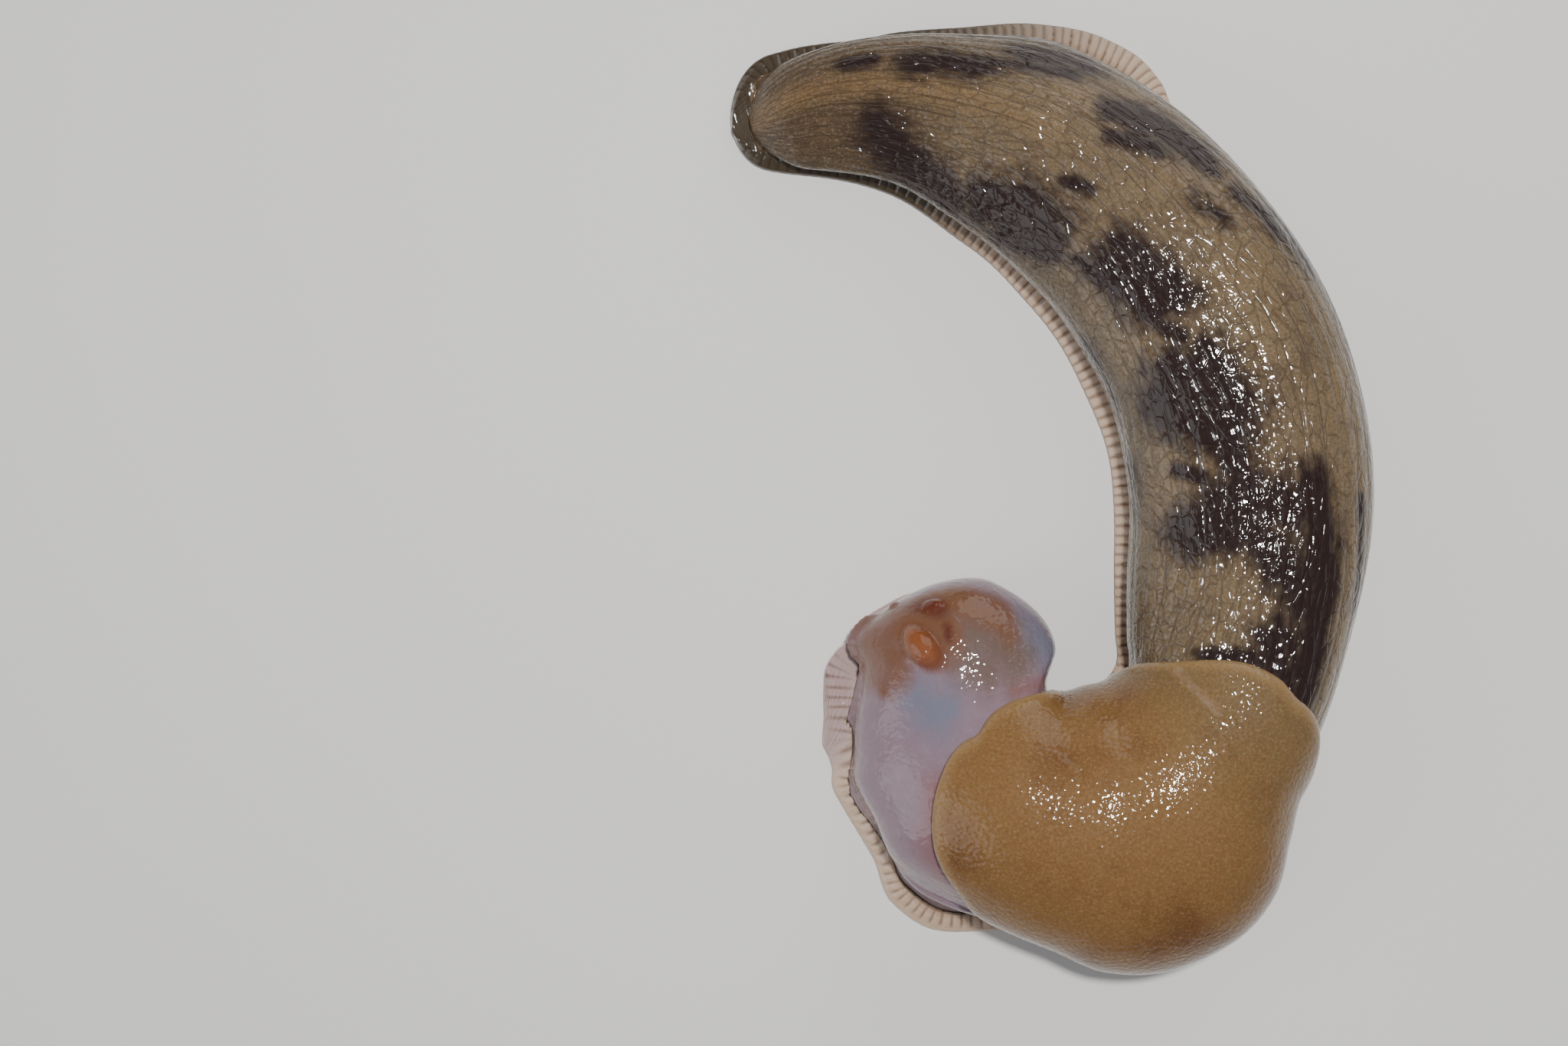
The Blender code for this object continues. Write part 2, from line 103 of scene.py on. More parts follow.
FOOT_TOP = 1.7                 # the foot at the groove above its fringe, and at its margin
FOOT_EDGE = 0.7
BODY_BASE = 2.0
WALL_BASE = 1.25               # the body wall runs down to this height, into the foot
TUCK = 0.45                    # how far the body wall turns in under itself at the groove
END_TUCK = 0.05                # how far it may flare beyond its widest line at the ends
BODY_SINK = 0.8                # the hidden underside of the body lies this high, in the foot
BASE_PULL = 0.3                # and ends this far inside the foot's ends
WIDEST_SHARE = 0.34            # where the body is widest, as a share of its height
NARROWEST = 0.3                # least half width of the foot inside its grooves
SMALLEST_SHARE = 0.05
TAIL_ROUNDING = 6.0            # lengths over which the ends close
HEAD_ROUNDING = 8.5
FOOT_HEAD_ROUNDING = 3.2
HEAD_TIP_HEIGHT = 3.6
TAIL_TIP_HEIGHT = 2.4
BODY_START = 2.2               # the body starts this far in from the tail tip

BODY_SPACING = 0.45            # cells of the skin along and around the body
AROUND_SPACING = 0.42
HEAD_CLOSER = 0.8              # how much closer together they are on the head
FOOT_SPACING = 0.3
RIB_SPACING = 1.2              # ribs across the fringe

MANTLE_CENTRE = (126.6, 0.04)  # the mantle's centre along and across, and its half sizes
MANTLE_HALF = (19.7, 1.09)
MANTLE_LIFT = 1.5              # the mantle over the skin, at its rim and more in the middle
MANTLE_RISE = 2.35
MANTLE_SINK = 0.9              # its hidden underside lies this deep in the body
NORMAL_REACH = 2.5             # it stands along normals averaged over this far either way
# Reach of the mantle's margin as a share of its half sizes, by angle from the front.
MANTLE_OUTLINE = [(0, 1.0), (20, 0.88), (38, 0.85), (57, 0.97), (90, 1.1), (124, 1.02),
                  (145, 0.92), (172, 0.92), (192, 1.03), (212, 0.99), (245, 1.05), (270, 1.02),
                  (302, 1.1), (333, 1.02), (346, 1.04), (360, 1.0)]
PORE = ((110.9, -0.44), (113.3, -0.17))        # the ends of the breathing pore's crease
WART = (116.5, -0.06)
NOTCH_ANGLE = 353.0            # a small step in the mantle's front margin
NOTCH_WIDTH = 2.6
NOTCH_DEPTH = 0.035
WRINKLES = [((134.5, -0.34), (132.6, -0.28)), ((132.6, -0.28), (132.9, -0.18)),
            ((147.0, -0.05), (144.6, -0.1))]

# Drawn-in tentacles: centre along and across, radii and height of the dome.
TENTACLES = [
    ((156.9, 0.06), (3.3, 1.85), 1.4),
    ((158.1, -0.3), (1.4, 1.1), 0.35),
    ((161.0, 0.72), (0.8, 0.7), 0.4),
    ((161.0, -0.72), (0.8, 0.7), 0.4),
]

LINES_A_SIDE = 11.0            # long grooves between the crest and the foot
END_STEP = 1e-4                # the end rows of the body and of the foot lie this far in
FOOT_END_STEP = 1e-7
BASE_COLUMNS = 7
COVE = 1.1                     # how far the foot's top climbs to the left of the face
COVE_AHEAD = 1.2               # it follows the face from this far behind, tucked in under it
COVE_TUCK = 0.5
SKIRT = 0.4                    # how far the skin bulges instead of hollowing above a wide foot
HEAD_FLARE = 2.4               # how far the left of the head spreads over its broad fringe
HEAD_SPREAD = 1.5              # how much wider its left side is, and its widest line lower
HEAD_DROP = 0.12
# Places on the fringe's top, as shares of the way from its margin in to the groove.
FRINGE_SHARES = np.linspace(0.1, 1, 15)
RIB_CUT = 0.26                 # depth of the grooves between ribs
NEAR_ROWS = 110                # rows either way in which the nearest margin is looked for
MANTLE_SECTORS = 240
MANTLE_RINGS = 64
MANTLE_ROLL = 0.06             # the share of the mantle's reach that its rim rounds over
MOUTH_HEIGHT = 3.4             # the mouth's height, how far left of the middle it lies and
LIPS_SIDE = -0.6               # half its width
LIPS_HALF = 3.6

# Markings are strokes over the skin: start and end, each along and across it, then the
# half width in millimetres and how strong it is.
BLOTCHES = [
    ((13.8, 0.28), (16.7, 0.29), 0.7, 1.0), ((20.8, 0.23), (28.2, 0.29), 1.5, 0.9),
    ((28.2, 0.33), (32.6, 0.38), 1.4, 0.6), ((32.1, 0.5), (37.5, 0.6), 1.6, 1.0),
    ((31.6, 0.34), (37.0, 0.45), 1.0, 0.8), ((17.6, -0.41), (20.3, -0.58), 2.2, 1.0),
    ((20.3, -0.6), (29.2, -0.78), 2.4, 1.0), ((33.9, -0.62), (41.3, -0.56), 2.6, 1.1),
    ((38.3, -0.5), (44.3, -0.51), 2.4, 1.1), ((38.7, -0.72), (45.6, -0.58), 2.0, 1.1),
    ((41.7, -0.26), (45.1, -0.22), 0.8, 0.7), ((41.7, 0.29), (45.3, 0.39), 1.3, 1.0),
    ((45.3, 0.39), (51.5, 0.48), 1.7, 1.1), ((43.3, 0.12), (47.8, 0.25), 0.8, 1.0),
    ((54.0, 0.17), (57.7, 0.24), 1.2, 0.6), ((56.8, 0.46), (60.2, 0.58), 1.5, 0.8),
    ((60.2, 0.58), (64.5, 0.7), 1.8, 1.0), ((42.9, -0.23), (45.2, -0.21), 0.6, 0.9),
    ((52.5, -0.29), (57.1, -0.27), 1.8, 1.0), ((53.6, -0.41), (61.0, -0.34), 2.2, 1.15),
    ((57.1, -0.27), (61.9, -0.22), 1.8, 1.1), ((61.0, -0.41), (66.4, -0.3), 1.0, 0.9),
    ((50.0, -0.52), (57.0, -0.42), 1.0, 0.8), ((70.1, -0.42), (73.8, -0.22), 2.4, 1.1),
    ((75.0, -0.5), (79.2, -0.27), 2.6, 1.15), ((69.3, -0.22), (76.0, -0.19), 1.5, 1.0),
    ((72.5, -0.48), (77.0, -0.22), 2.6, 1.15), ((80.0, -0.26), (87.0, -0.22), 1.6, 1.1),
    ((83.4, -0.53), (84.9, -0.41), 0.9, 1.0), ((92.0, -0.5), (89.1, -0.27), 2.2, 1.15),
    ((88.0, -0.3), (88.6, -0.05), 2.6, 1.1), ((93.0, -0.46), (91.3, -0.18), 2.0, 1.1),
    ((91.6, -0.18), (95.7, -0.05), 1.9, 1.1), ((86.0, 0.1), (91.8, 0.14), 1.5, 1.1),
    ((91.8, 0.14), (97.4, 0.15), 1.9, 1.15), ((97.4, 0.15), (103.0, 0.18), 1.7, 1.1),
    ((103.0, 0.18), (110.5, 0.25), 1.5, 1.1), ((92.5, -0.1), (100.0, 0.09), 1.7, 1.0),
    ((104.0, -0.08), (108.0, 0.05), 1.7, 1.05), ((107.2, -0.36), (106.0, -0.11), 0.9, 1.0),
    ((101.5, -0.05), (106.5, 0.13), 1.1, 0.9), ((88.0, 0.52), (99.0, 0.62), 0.8, 0.7),
    ((66.0, 0.8), (80.0, 0.95), 1.6, 0.7), ((45.0, 0.95), (56.0, 1.0), 1.8, 0.8),
    ((62.0, -0.95), (72.0, -1.0), 2.0, 0.8), ((82.0, -0.95), (88.0, -1.0), 2.2, 0.9),
    ((102.0, 0.85), (108.0, 0.9), 1.4, 0.8), ((26.0, 0.9), (34.0, 1.0), 1.3, 0.7),
]
STROKE_SPREAD = 1.5            # how far a stroke fades out, in half widths
FACE_PATCH = [
    ((161.9, 0.49), (158.4, 0.3), 2.2, 1.0), ((161.6, -0.4), (158.1, -0.05), 2.2, 1.0),
    ((159.2, -0.34), (152.6, -0.5), 1.5, 0.9), ((161.0, 0.09), (156.0, -0.08), 2.2, 0.9),
    ((160.9, 0.68), (157.4, 0.38), 1.0, 0.7),
]
OLIVE_PATCH = [
    ((156.0, -0.16), (149.6, -0.42), 2.0, 0.9), ((153.4, -0.12), (150.5, -0.24), 1.6, 0.8),
]
BLUE_PATCH = [
    ((153.6, 0.2), (150.2, 0.04), 1.6, 0.8), ((150.0, -0.64), (147.0, -0.76), 1.6, 0.9),
    ((151.8, 0.12), (150.2, 0.02), 1.3, 1.0),
]
ROSE_PATCH = [
    ((144.6, 0.22), (141.3, 0.45), 1.3, 0.8), ((141.3, 0.45), (138.2, 0.8), 1.6, 0.9),
    ((147.0, -0.34), (143.6, -0.7), 1.0, 0.6),
]
RED_SPOTS = [
    ((155.4, -0.1), (155.9, -0.14), 0.5, 0.8), ((158.6, -0.33), (157.9, -0.28), 0.9, 1.0),
]
STROKES = {"blotch": BLOTCHES, "face": FACE_PATCH, "olive": OLIVE_PATCH, "blue": BLUE_PATCH,
           "rose": ROSE_PATCH, "red": RED_SPOTS}
FAR = -1.5                     # what a field falls to away from its marks
FIELDS = ("bud", "pale", *STROKES)
# What every part of the skin stores at its points, for the materials.
STORED = ("along", "arc", "line", "low", "rib", "ribbed", "fringe", "inward", "edge", *FIELDS)


def monotone(points):
    """A smooth curve through the points that never overshoots between them."""
    x = np.array([p[0] for p in points], float)
    y = np.array([p[1] for p in points], float)
    step = np.diff(x)
    slope = np.diff(y) / step
    tangent = np.zeros(len(x))
    for i in range(1, len(x) - 1):
        if slope[i - 1] * slope[i] > 0:
            before = 2 * step[i] + step[i - 1]
            after = step[i] + 2 * step[i - 1]
            tangent[i] = (before + after) / (before / slope[i - 1] + after / slope[i])
    tangent[0] = slope[0]
    tangent[-1] = slope[-1]

    def value(at):
        at = np.clip(at, x[0], x[-1])
        i = np.clip(np.searchsorted(x, at, side="right") - 1, 0, len(step) - 1)
        t = (at - x[i]) / step[i]
        rise = y[i] * (1 + 2 * t) * (1 - t) ** 2 + y[i + 1] * t * t * (3 - 2 * t)
        bend = step[i] * t * (1 - t) * (tangent[i] * (1 - t) - tangent[i + 1] * t)
        return rise + bend

    return value


heading = monotone(HEADING)
body_left = monotone(BODY_LEFT)
body_right = monotone(BODY_RIGHT)
body_height = monotone(BODY_HEIGHT)
crest_side = monotone(CREST_SIDE)
roundness = monotone(ROUNDNESS)
foot_left = monotone(FOOT_LEFT)
foot_right = monotone(FOOT_RIGHT)
fringe_left = monotone(FRINGE_LEFT)
fringe_right = monotone(FRINGE_RIGHT)
front_lean = monotone(FRONT_LEAN)
mantle_outline = monotone(MANTLE_OUTLINE)


def centreline():
    """Distances, positions and headings along the floor, from the heading profile."""
    along = np.arange(0.0, LENGTH + SPINE_SPARE, SPINE_STEP)
    turn = np.radians(heading(along))
    dx = (np.cos(turn[1:]) + np.cos(turn[:-1])) / 2 * SPINE_STEP
    dy = (np.sin(turn[1:]) + np.sin(turn[:-1])) / 2 * SPINE_STEP
    x = TAIL_TIP[0] + np.concatenate([[0.0], np.cumsum(dx)])
    y = TAIL_TIP[1] + np.concatenate([[0.0], np.cumsum(dy)])
    return along, x, y, turn


LINE = centreline()


def place(along, across, up):
    """Points given along, to the left of and above the centreline, in millimetres."""
    x = np.interp(along, LINE[0], LINE[1])
    y = np.interp(along, LINE[0], LINE[2])
    turn = np.interp(along, LINE[0], LINE[3])
    spots = np.broadcast_arrays(x - across * np.sin(turn), y + across * np.cos(turn), up)
    return np.stack(spots, axis=-1)


def foot_place(along, across, up):
    """Points of the foot, whose front juts forward on the left."""
    share = np.maximum(0, (along - LEAN_START) / (LENGTH - LEAN_START))
    return place(along + share * share * front_lean(across), across, up)


def smooth(value, low, high):
    """0 below low, 1 above high, and an even S between them."""
    t = np.clip((value - low) / (high - low), 0, 1)
    return t * t * (3 - 2 * t)


def end_share(along, start, head_rounding, power=2.0):
    """How far the section has opened, from 0 at an end to 1 where the rounding stops."""
    tail = np.clip(1 - (along - start) / TAIL_ROUNDING, 0, 1)
    head = np.clip(1 - (LENGTH - along) / head_rounding, 0, 1)
    return np.sqrt(1 - tail * tail) * (1 - head ** power) ** (1 / power)


def foot_reach(along):
    """Half widths of the foot to its margins and to its grooves, left then right."""
    share = end_share(along, 0.0, FOOT_HEAD_ROUNDING, 3.0)
    left = foot_left(along) * share
    right = foot_right(along) * share
    narrowing = 0.3 + 0.7 * share
    groove_left = np.maximum(NARROWEST, left - fringe_left(along) * narrowing)
    groove_right = np.maximum(NARROWEST, right - fringe_right(along) * narrowing)
    return left, right, groove_left, groove_right


def body_grooves(along):
    """Where the body meets the foot on its left and its right, drawn in at both ends."""
    share = end_share(along, BODY_START, HEAD_ROUNDING)
    _, _, left, right = foot_reach(along)
    spare = END_TUCK + 6.0 * smooth(share, 0.6, 1.0)
    left = left + HEAD_FLARE * smooth(along, 141.0, 149.0)
    left = np.minimum(left, body_left(along) * share + spare)
    return left, np.minimum(right, body_right(along) * share + spare)


def body_skin(along, side):
    """The body's smooth skin, in millimetres, at places given along and across it."""
    share = end_share(along, BODY_START, HEAD_ROUNDING)
    left = side >= 0
    spread = smooth(along, 145.0, 151.0)
    wide = HEAD_SPREAD * spread * (1 - smooth(along, 158.0, LENGTH))
    reach = np.where(left, body_left(along) + wide, -body_right(along))
    crest = crest_side(along)
    height = body_height(along)
    widest = BODY_BASE + (height - BODY_BASE) * (WIDEST_SHARE - HEAD_DROP * spread * left)
    power = 2.0 / roundness(along)
    part = np.abs(side)
    angle = np.minimum(part, 1) * math.pi / 2
    across = crest + (reach - crest) * np.sin(angle) ** power
    up = widest + (height - widest) * np.clip(np.cos(angle), 0, 1) ** power
    groove_left, groove_right = body_grooves(along)
    groove = np.where(left, groove_left, -groove_right) / np.maximum(share, SMALLEST_SHARE)
    low = (np.maximum(part, 1) - 1) * math.pi
    flare = smooth(np.abs(groove) - np.abs(reach), 0.0, 2.5) * SKIRT
    out = 1 - np.cos(low)
    down = np.sin(low)
    across = np.where(part > 1, reach + (groove - reach) * (out + flare * (down - out)), across)
    up = np.where(part > 1, widest - (widest - WALL_BASE) * (down + flare * (out - down)), up)
    middle = np.where(along > LENGTH / 2, HEAD_TIP_HEIGHT, TAIL_TIP_HEIGHT)
    middle = middle + (WALL_BASE - middle) * np.clip(2 * part - 2, 0, 1)
    up = middle + (up - middle) * share ** 0.8
    return place(along, across * share, np.maximum(up, WALL_BASE))


def skin_frame(along, side):
    """Points and outward normals of the smooth skin."""
    step = 0.05
    reach = 0.01
    forward = body_skin(along + step, side) - body_skin(along - step, side)
    leftward = body_skin(along, side + reach) - body_skin(along, side - reach)
    normal = np.cross(forward, leftward)
    return body_skin(along, side), normal / np.linalg.norm(normal, axis=-1, keepdims=True)


def grid_normals(points):
    """Normals of a grid of points, outward where its columns run to the left."""
    normal = np.cross(np.gradient(points, axis=0), np.gradient(points, axis=1))
    length = np.linalg.norm(normal, axis=-1, keepdims=True)
    return normal / np.maximum(length, 1e-9)


def even_marks(ring, start, end, spacing):
    """Places where no point of the ring moves on by more than the spacing."""
    marks = start + (end - start) * (1 - np.cos(np.linspace(0, math.pi, 9000))) / 2
    moved = np.linalg.norm(np.diff(ring(marks[:, None]), axis=0), axis=-1).max(axis=1)
    moved *= 1 + HEAD_CLOSER * smooth(marks[1:], 148.0, 153.0)
    travel = np.concatenate([[0.0], np.cumsum(moved)])
    count = math.ceil(travel[-1] / spacing)
    return np.interp(np.linspace(0, travel[-1], count + 1), travel, marks)


def even_sides():
    """Places from groove to groove, evenly spaced over the skin at the widest girth."""
    fine = np.linspace(-1.5, 1.5, 1200)
    points = body_skin(np.full(1200, 90.0), fine)
    travel = np.concatenate([[0.0], np.cumsum(np.linalg.norm(np.diff(points, axis=0), axis=1))])
    count = 2 * math.ceil(travel[-1] / AROUND_SPACING / 2)
    return np.interp(np.linspace(0, travel[-1], count + 1), travel, fine)


def ripple(along, across, seed):
    """A slow, smooth unevenness between about -1 and 1."""
    a = np.sin(along / 5.3 + across / 6.1 + seed)
    b = np.sin(along / 3.1 - across / 4.7 + 2.3 * seed)
    c = np.sin(along / 8.9 + across / 2.9 + 4.1 * seed)
    return (a + b + c) / 2.2


def new_mesh(name, points, faces, values, material=0):
    """A mesh from points in millimetres, with one stored number a point for each name."""
    mesh = bpy.data.meshes.new(name)
    mesh.from_pydata(points * MM, [], faces)
    for key, numbers in values.items():
        layer = mesh.attributes.new(key, "FLOAT", "POINT")
        layer.data.foreach_set("value", np.asarray(numbers, np.float32).ravel())
    mesh.polygons.foreach_set("material_index", np.full(len(mesh.polygons), material))
    return mesh


def end_faces(start, columns, crest):
    """Narrow faces that close an end ring by joining its left to its right."""
    faces = []
    for i in range(columns // 2):
        face = [start + (crest + step) % columns for step in (i, i + 1, -i - 1, -i)]
        faces.append([point for k, point in enumerate(face) if point not in face[:k]])
    return faces


def tube_faces(rows, columns, crest, flip=False):
    """Quads of a tube of rings, closed at both ends."""
    i = np.arange(rows - 1)[:, None] * columns
    j = np.arange(columns)[None, :]
    k = (j + 1) % columns
    quads = np.stack((i + j, i + k, i + columns + k, i + columns + j), axis=-1)
    faces = quads.reshape(-1, 4).tolist()
    faces += [face[::-1] for face in end_faces(0, columns, crest)]
    faces += end_faces((rows - 1) * columns, columns, crest)
    if flip:
        faces = [face[::-1] for face in faces]
    return faces


def evened(row, leftward):
    """An end row whose right half mirrors its left half."""
    mirror = row[::-1]
    apart = ((row - mirror) @ leftward) / 2
    return (row + mirror) / 2 + apart[:, None] * leftward


def line_at(along, arc, half):
    """Which long groove a place is on: whole numbers lie midway between two grooves."""
    drift = 0.16 * np.sin(along / 7.3 + arc / 5.1) + 0.1 * np.sin(along / 3.7 - arc / 3.3)
    return LINES_A_SIDE * arc / half + drift


def groove_depth(line, width):
    """1 on each groove and 0 between them."""
    off = np.abs(line - np.round(line))
    return np.exp(-((0.5 - off) / width) ** 2)


def lip_relief(points):
    """Lips on the front of the head, the line of the mouth between them, in millimetres."""
    tip = place(LENGTH, 0.0, 0.0)
    turn = np.interp(LENGTH, LINE[0], LINE[3])
    offset = points - tip
    ahead = offset[..., 0] * math.cos(turn) + offset[..., 1] * math.sin(turn)
    across = -offset[..., 0] * math.sin(turn) + offset[..., 1] * math.cos(turn) - LIPS_SIDE
    above = points[..., 2] - MOUTH_HEIGHT - 0.035 * across ** 2
    window = smooth(1 - np.abs(across) / LIPS_HALF, 0.0, 0.5) * smooth(ahead, -4.5, -2.5)
    upper = 0.85 * np.exp(-((above - 0.95) / 0.7) ** 2)
    lower = 0.65 * np.exp(-((above + 0.8) / 0.6) ** 2)
    slit = -0.95 * np.exp(-(above / 0.22) ** 2)
    folds = 0.07 * np.cos(across * 2 * math.pi / 0.7) * np.exp(-(above / 1.6) ** 2)
    return window * (upper + lower + slit + folds)


def bud_relief(points):
    """The drawn-in tentacles, low domes in a crease, and how far inside one each place is."""
    relief = np.zeros(points.shape[:-1])
    inside = np.full(points.shape[:-1], -1.0)
    for centre, radii, height in TENTACLES:
        middle, normal = skin_frame(np.array(centre[0]), np.array(centre[1]))
        forward = body_skin(np.array(centre[0] + 0.05), np.array(centre[1])) - middle
        forward -= normal * (forward @ normal)
        forward /= np.linalg.norm(forward)
        leftward = np.cross(normal, forward)
        offset = points - middle
        far = np.hypot(offset @ forward / radii[0], offset @ leftward / radii[1])
        far = np.where(np.abs(offset @ normal) < 2.5, far, 9.0)
        relief += height * np.clip(1 - far ** 2.2, 0, 1)
        relief -= 0.05 * height * np.exp(-((far - 1.1) / 0.2) ** 2)
        inside = np.maximum(inside, 1 - far)
    return relief, inside


def body_relief(along, side, arc, line, points):
    """How far the skin stands off its smooth form: grooves, keel, unevenness and lips."""
    bare = smooth(along, 130.0, 137.0)
    opening = smooth(along, BODY_START, 9.0)
    relief = -0.1 * groove_depth(line, 0.16) * opening * (1 - bare)
    relief += 0.14 * ripple(along, arc, 1.0) * opening
    relief += 0.3 * np.exp(-(arc / 1.3) ** 2) * smooth(along, 4, 10) * (1 - smooth(along, 30, 52))
    skirt = smooth(along, 132.0, 137.0) * (1 - smooth(along, 140.5, 144.5))
    relief += 1.5 * skirt * np.exp(-((side - 1.08) / 0.16) ** 2)
    return relief + lip_relief(points)


def strokes_field(strokes, along, arc, marks, sides):
    """How far inside the nearest stroke each place is: 0 at its margin, less outside."""
    field = np.full(along.shape, FAR)

    def spot(at):
        row = np.interp(at[0], marks, np.arange(len(marks)))
        low = int(row)
        high = min(low + 1, len(marks) - 1)
        arcs = arc[low] + (arc[high] - arc[low]) * (row - low)
        return np.array((at[0], np.interp(at[1], sides, arcs)))

    for start, end, half, strength in strokes:
        first = spot(start)
        run = spot(end) - first
        x = along - first[0]
        y = arc - first[1]
        share = np.clip((x * run[0] + y * run[1]) / (run @ run), 0, 1)
        off = np.hypot(x - share * run[0], y - share * run[1])
        field = np.maximum(field, strength - off / (STROKE_SPREAD * half))
    return field


def skin_arcs(points, middle):
    """Distances over the skin from its middle column to each place, to the left."""
    pieces = np.linalg.norm(np.diff(points, axis=1), axis=-1)
    arc = np.concatenate([np.zeros((len(points), 1)), np.cumsum(pieces, axis=1)], axis=1)
    return arc - arc[:, middle][:, None]


def hidden_base(marks):
    """The underside of the body, inside the foot."""
    groove_left, groove_right = body_grooves(marks)
    shares = np.linspace(1, -1, BASE_COLUMNS)
    reach = np.where(shares >= 0, groove_left[:, None] - TUCK, groove_right[:, None] - TUCK)
    reach = np.maximum(reach, NARROWEST)
    pulled = marks - BASE_PULL * (2 * marks / LENGTH - 1)
    return place(pulled[:, None] + 0 * shares, reach * shares, BODY_SINK)


def make_body_mesh():
    """The body from the groove over the crest to the other groove, with a hidden base."""
    sides = even_sides()
    middle = len(sides) // 2
    marks = even_marks(lambda a: body_skin(a, sides[None, ::8]),
                       BODY_START + END_STEP, LENGTH - END_STEP, BODY_SPACING)
    along = marks[:, None] + 0 * sides
    side = sides + 0 * along
    base = body_skin(along, side)
    arc = skin_arcs(base, middle)
    half = np.where(side >= 0, arc[:, -1:], -arc[:, :1])
    line = line_at(along, arc, half)
    domes, bud = bud_relief(base)
    relief = body_relief(along, side, arc, line, base) + domes
    skin = base + grid_normals(base) * relief[..., None]
    for end in (0, -1):
        leftward = place(marks[end], 1.0, 0.0) - place(marks[end], 0.0, 0.0)
        skin[end] = evened(skin[end], leftward)
    points = np.concatenate([skin, hidden_base(marks)], axis=1)
    rows, columns = points.shape[:2]
    # low grows down both flanks, and the back's colour darkens with it as painted shade.
    values = {"along": along, "arc": arc, "line": line, "bud": bud,
              "low": smooth(np.abs(side), 0.45, 1.1)}
    for key, strokes in STROKES.items():
        values[key] = strokes_field(strokes, along, arc, marks, sides)
    for key, numbers in values.items():
        under = np.repeat(numbers[:, :1], BASE_COLUMNS, axis=1)
        values[key] = np.concatenate([numbers, under], axis=1)
    faces = tube_faces(rows, columns, middle, True)
    return new_mesh("body", points.reshape(-1, 3), faces, values)


def rib_depth(rib):
    """1 in the bolder grooves between ribs and less in every other one."""
    return groove_depth(rib, 0.16) * (0.8 + 0.2 * np.cos(math.pi * np.floor(rib)))


def nearest_phase(points, rim, rib, spacing):
    """Which rib each point of a row lies on, by the nearest place on the foot's margin."""
    count = len(rim)
    window = np.arange(count)[:, None] + np.arange(-NEAR_ROWS, NEAR_ROWS + 1)
    window = np.clip(window, 0, count - 1)
    far = np.linalg.norm(rim[window] - points[:, None], axis=-1)
    nearest = window[np.arange(count), far.argmin(axis=1)]
    ahead = np.gradient(rim, axis=0)
    ahead /= np.linalg.norm(ahead, axis=1, keepdims=True)
    past = ((points - rim[nearest]) * ahead[nearest]).sum(axis=1)
    return rib[nearest] + np.clip(past / spacing[nearest], -0.5, 0.5)


def foot_margins(at):
    """The foot's left and right margins on the floor."""
    left, right, _, _ = foot_reach(at)
    return foot_place(at, np.concatenate([left, -right], axis=1), 0.0)


def foot_grooves(marks):
    """The foot's half widths to its margins and grooves, and its climb beside the face."""
    left, right, groove_left, groove_right = foot_reach(marks)
    ahead = np.minimum(marks + COVE_AHEAD, LENGTH)
    face = body_left(ahead) * end_share(ahead, BODY_START, HEAD_ROUNDING) - COVE_TUCK
    face = np.minimum(groove_left, np.maximum(face, NARROWEST))
    front = smooth(marks, 152.0, 158.0)
    groove_left = groove_left + (face - groove_left) * front
    cove = COVE * front * smooth(groove_left, NARROWEST, 4.0)
    groove_left = np.where(left < 1, np.minimum(groove_left, 0.6 * left), groove_left)
    groove_right = np.where(right < 1, np.minimum(groove_right, 0.6 * right), groove_right)
    return left, right, groove_left, groove_right, cove


def rib_run(rim, marks):
    """Which rib each place of a margin lies on, how far apart the ribs are and how bold."""
    travel = np.linalg.norm(np.diff(rim, axis=0), axis=1)
    spacing = RIB_SPACING + 0.1 * smooth(marks[1:], 115.0, 135.0)
    rib = np.concatenate([[0.0], np.cumsum(travel / spacing)])
    rib += 0.12 * np.sin(rib / 2.3) + 0.1 * np.sin(rib / 0.9)
    left_to_go = np.append(np.cumsum(travel[::-1])[::-1], 0.0)
    return rib, np.append(spacing, spacing[-1]), smooth(left_to_go, 5.5, 8.5)


def fringe_side(marks, margin, groove, cove, sign):
    """The fringe on the left where the sign is 1, else on the right: columns of points from
    left to right, which rib each lies on, and how bold the ribs are."""
    rim = foot_place(marks, sign * margin, 0.0)
    rib, spacing, bold = rib_run(rim, marks)
    edge = np.minimum(0.3, 0.3 * margin)
    wave = 0.16 * ripple(marks, 0.0, 3.0 + sign) - 0.04 * (rib_depth(rib) * bold)
    margin = margin + wave * np.minimum(1, margin / 4)
    inner = smooth(marks, 138.0, 146.0)
    wide = smooth(marks, 140.0, 152.0) * (1 - smooth(marks, 157.0, 161.0))
    profile = [(margin - edge, 0.0), (margin - 0.25 * edge, 0.12),
               (margin, 0.36), (margin - 0.3 * edge, 0.6), (margin - edge, 0.74)]
    phases = [rib] * len(profile)
    for share in FRINGE_SHARES:
        across = margin - edge + (groove - margin + edge) * share
        rise = FOOT_EDGE + 0.04 + (FOOT_TOP - FOOT_EDGE) * math.sin(share * math.pi / 2)
        rise = rise + 0.35 * share ** 2 * wide
        rise = rise + cove * share ** 3 * np.minimum(1, margin / 4)
        phase = nearest_phase(foot_place(marks, sign * across, 0.0), rim, rib, spacing)
        cut = rib_depth(phase) * bold * np.minimum(1.0, share * (6.0 - 3.5 * wide))
        cut = cut * (1 - inner * smooth(share, 0.5, 0.9))
        phases.append(phase)
        rise = rise + 0.3 * math.sin(math.pi * share) * wide - RIB_CUT * cut
        profile.append((across, rise))
    points = [foot_place(marks, sign * across, up) for across, up in profile]
    return points[::sign], np.stack(phases[::sign], axis=1), bold


